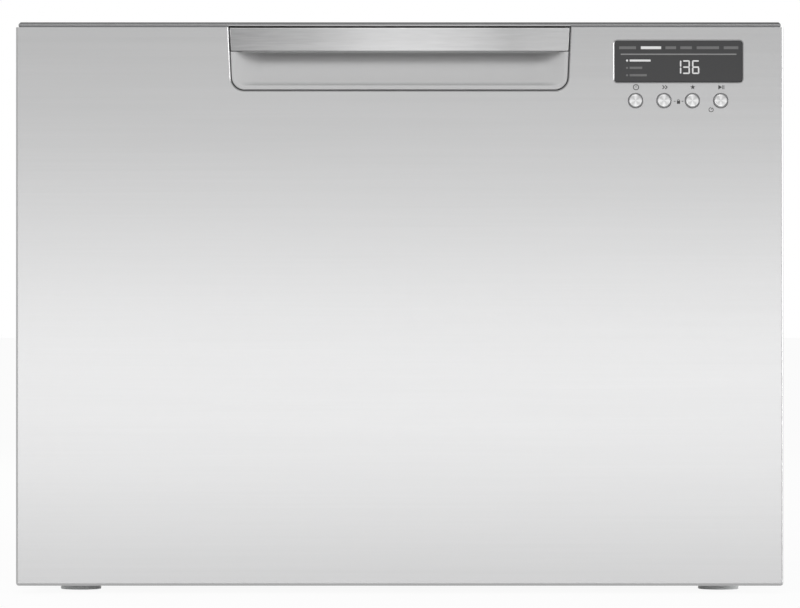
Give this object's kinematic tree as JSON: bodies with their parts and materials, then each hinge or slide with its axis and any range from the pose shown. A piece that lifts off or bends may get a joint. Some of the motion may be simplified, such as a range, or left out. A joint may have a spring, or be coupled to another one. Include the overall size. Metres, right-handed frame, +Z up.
{
  "type": "dishwasher drawer",
  "caption": "Built-in drawer dishwasher: steel front with scoop handle, display and buttons on a tub drawer that slides out of a cabinet.",
  "frame": {"origin": "on the floor under the middle of the overall box, where the feet stand", "axes": "+Z up; the front with the handle faces -Y, so the drawer opens along -Y; +X to the right seen from the front"},
  "size_m": [0.599, 0.573, 0.446],
  "materials": {
    "steel_skin": "fine horizontal brushed grain",
    "cabinet_sheet": "satin light grey coat",
    "galvanised": "galvanised sheet",
    "runner_steel": "zinc plated",
    "screw_steel": "zinc plated",
    "aluminium_cap": "spun",
    "aluminium_trim": "satin anodised",
    "grip_aluminium": "brushed",
    "scoop_plastic": "silver lacquer",
    "dark_plastic": "moulded",
    "lens_glass": "dark tinted window",
    "board_green": "circuit board",
    "rubber_grey": "silicone",
    "rubber_black": "moulded",
    "tub_plastic": "moulded light grey",
    "white_plastic": "moulded",
    "grey_plastic": "moulded",
    "blue_plastic": "moulded",
    "orange_plastic": "moulded",
    "filter_steel": "pierced",
    "rack_wire": "plastic coated wire",
    "basket_plastic": "moulded"
  },
  "bodies": {
    "cabinet": {"cabinet_shell": "cabinet_sheet", "base_tray": "dark_plastic", "rear_cover": "galvanised", "cabinet_seal": "rubber_black", "runner_rail_left": "runner_steel", "runner_rail_right": "runner_steel", "service_bay": "grey_plastic", "inlet_valve": "white_plastic", "bay_fittings": "dark_plastic", "power_module": "dark_plastic", "lid_drives": "grey_plastic", "cabinet_screws": "screw_steel", "drain_hose": "rubber_grey", "fill_hose": "rubber_black", "wiring_loom": "rubber_black"},
    "foot_front_left": {"foot_front_left": "dark_plastic"},
    "foot_front_right": {"foot_front_right": "dark_plastic"},
    "foot_rear_left": {"foot_rear_left": "dark_plastic"},
    "foot_rear_right": {"foot_rear_right": "dark_plastic"},
    "lid": {"lid": "white_plastic", "lid_seal": "rubber_grey", "lid_racks": "white_plastic"},
    "lid_pinion_left": {"lid_pinion_left": "orange_plastic"},
    "lid_pinion_right": {"lid_pinion_right": "orange_plastic"},
    "drawer": {"tub": "tub_plastic", "motor_housing": "grey_plastic", "drain_pump": "dark_plastic", "heater_plate": "filter_steel", "filter_plate": "filter_steel", "back_plate": "galvanised", "front_skin": "steel_skin", "top_trim": "aluminium_trim", "handle_scoop": "scoop_plastic", "handle_grip": "grip_aluminium", "control_housing": "dark_plastic", "display_lens": "lens_glass", "display_board": "board_green", "button_pad": "rubber_grey", "runner_slide_left": "runner_steel", "runner_slide_right": "runner_steel", "dispenser": "white_plastic", "base_rack": "rack_wire", "rack_clips": "grey_plastic", "cutlery_basket": "basket_plastic", "front_screws": "screw_steel"},
    "runner_middle_left": {"runner_middle_left": "runner_steel"},
    "runner_middle_right": {"runner_middle_right": "runner_steel"},
    "drain_filter": {"drain_filter": "grey_plastic"},
    "wash_rotor": {"wash_rotor": "white_plastic"},
    "spray_arm": {"spray_arm": "grey_plastic"},
    "delay_button": {"delay_button": "aluminium_cap"},
    "option_button": {"option_button": "aluminium_cap"},
    "favourite_button": {"favourite_button": "aluminium_cap"},
    "start_button": {"start_button": "aluminium_cap"},
    "detergent_lid": {"detergent_lid": "grey_plastic"},
    "rinse_cap": {"rinse_cap": "blue_plastic"},
    "tine_row_left": {"tine_row_left": "rack_wire"},
    "tine_row_right": {"tine_row_right": "rack_wire"},
    "cup_rack_left": {"cup_rack_left": "rack_wire"},
    "cup_rack_right": {"cup_rack_right": "rack_wire"}
  },
  "joints": [
    {"name": "drawer_slide", "type": "slide", "parent": "cabinet", "child": "drawer", "axis": [0, -1, 0], "range_m": [0, 0.48], "deforming": ["drain_hose", "fill_hose", "wiring_loom"]},
    {"name": "runner_middle_left_slide", "type": "slide", "parent": "cabinet", "child": "runner_middle_left", "axis": [0, -1, 0], "range_m": [0, 0.24]},
    {"name": "runner_middle_right_slide", "type": "slide", "parent": "cabinet", "child": "runner_middle_right", "axis": [0, -1, 0], "range_m": [0, 0.24]},
    {"name": "lid_lift", "type": "slide", "parent": "cabinet", "child": "lid", "axis": [0, 0, 1], "range_m": [0, 0.012]},
    {"name": "lid_pinion_left_turn", "type": "hinge", "parent": "cabinet", "child": "lid_pinion_left", "pos_m": [-0.2842, 0.01, 0.352], "axis": [1, 0, 0], "range_deg": [-69, 0]},
    {"name": "lid_pinion_right_turn", "type": "hinge", "parent": "cabinet", "child": "lid_pinion_right", "pos_m": [0.2842, 0.01, 0.352], "axis": [1, 0, 0], "range_deg": [-69, 0]},
    {"name": "foot_front_left_screw", "type": "slide", "parent": "cabinet", "child": "foot_front_left", "axis": [0, 0, 1], "range_m": [-0.012, 0]},
    {"name": "foot_front_right_screw", "type": "slide", "parent": "cabinet", "child": "foot_front_right", "axis": [0, 0, 1], "range_m": [-0.012, 0]},
    {"name": "foot_rear_left_screw", "type": "slide", "parent": "cabinet", "child": "foot_rear_left", "axis": [0, 0, 1], "range_m": [-0.012, 0]},
    {"name": "foot_rear_right_screw", "type": "slide", "parent": "cabinet", "child": "foot_rear_right", "axis": [0, 0, 1], "range_m": [-0.012, 0]},
    {"name": "delay_press", "type": "slide", "parent": "drawer", "child": "delay_button", "axis": [0, 1, 0], "range_m": [0, 0.001], "stiffness_N_per_m": 800},
    {"name": "option_press", "type": "slide", "parent": "drawer", "child": "option_button", "axis": [0, 1, 0], "range_m": [0, 0.001], "stiffness_N_per_m": 800},
    {"name": "favourite_press", "type": "slide", "parent": "drawer", "child": "favourite_button", "axis": [0, 1, 0], "range_m": [0, 0.001], "stiffness_N_per_m": 800},
    {"name": "start_press", "type": "slide", "parent": "drawer", "child": "start_button", "axis": [0, 1, 0], "range_m": [0, 0.001], "stiffness_N_per_m": 800},
    {"name": "spray_arm_turn", "type": "hinge", "parent": "drawer", "child": "spray_arm", "pos_m": [0, -0.0059, 0.113], "axis": [0, 0, 1], "continuous": true},
    {"name": "wash_rotor_turn", "type": "hinge", "parent": "drawer", "child": "wash_rotor", "pos_m": [0, -0.0059, 0.085], "axis": [0, 0, 1], "continuous": true},
    {"name": "drain_filter_twist", "type": "hinge", "parent": "drawer", "child": "drain_filter", "pos_m": [0.057, -0.0059, 0.098], "axis": [0, 0, 1], "range_deg": [0, 90]},
    {"name": "detergent_lid_hinge", "type": "hinge", "parent": "drawer", "child": "detergent_lid", "pos_m": [-0.022, -0.2249, 0.318], "axis": [-1, 0, 0], "range_deg": [0, 100]},
    {"name": "rinse_cap_twist", "type": "hinge", "parent": "drawer", "child": "rinse_cap", "pos_m": [0.038, -0.2267, 0.345], "axis": [0, -1, 0], "range_deg": [0, 90]},
    {"name": "tine_row_left_fold", "type": "hinge", "parent": "drawer", "child": "tine_row_left", "pos_m": [-0.126, 0.0031, 0.1413], "axis": [0, -1, 0], "range_deg": [0, 80]},
    {"name": "tine_row_right_fold", "type": "hinge", "parent": "drawer", "child": "tine_row_right", "pos_m": [0.004, 0.0031, 0.1413], "axis": [0, -1, 0], "range_deg": [0, 80]},
    {"name": "cup_rack_left_fold", "type": "hinge", "parent": "drawer", "child": "cup_rack_left", "pos_m": [-0.25, 0.0031, 0.2993], "axis": [0, -1, 0], "range_deg": [0, 85]},
    {"name": "cup_rack_right_fold", "type": "hinge", "parent": "drawer", "child": "cup_rack_right", "pos_m": [0.25, 0.0031, 0.2993], "axis": [0, 1, 0], "range_deg": [0, 85]}
  ],
  "couplings": [
    {"joint": "runner_middle_left_slide", "follows": "drawer_slide", "ratio": 0.5},
    {"joint": "runner_middle_right_slide", "follows": "drawer_slide", "ratio": 0.5},
    {"joint": "lid_pinion_left_turn", "follows": "lid_lift", "rad_per_m": -100},
    {"joint": "lid_pinion_right_turn", "follows": "lid_lift", "rad_per_m": -100}
  ]
}
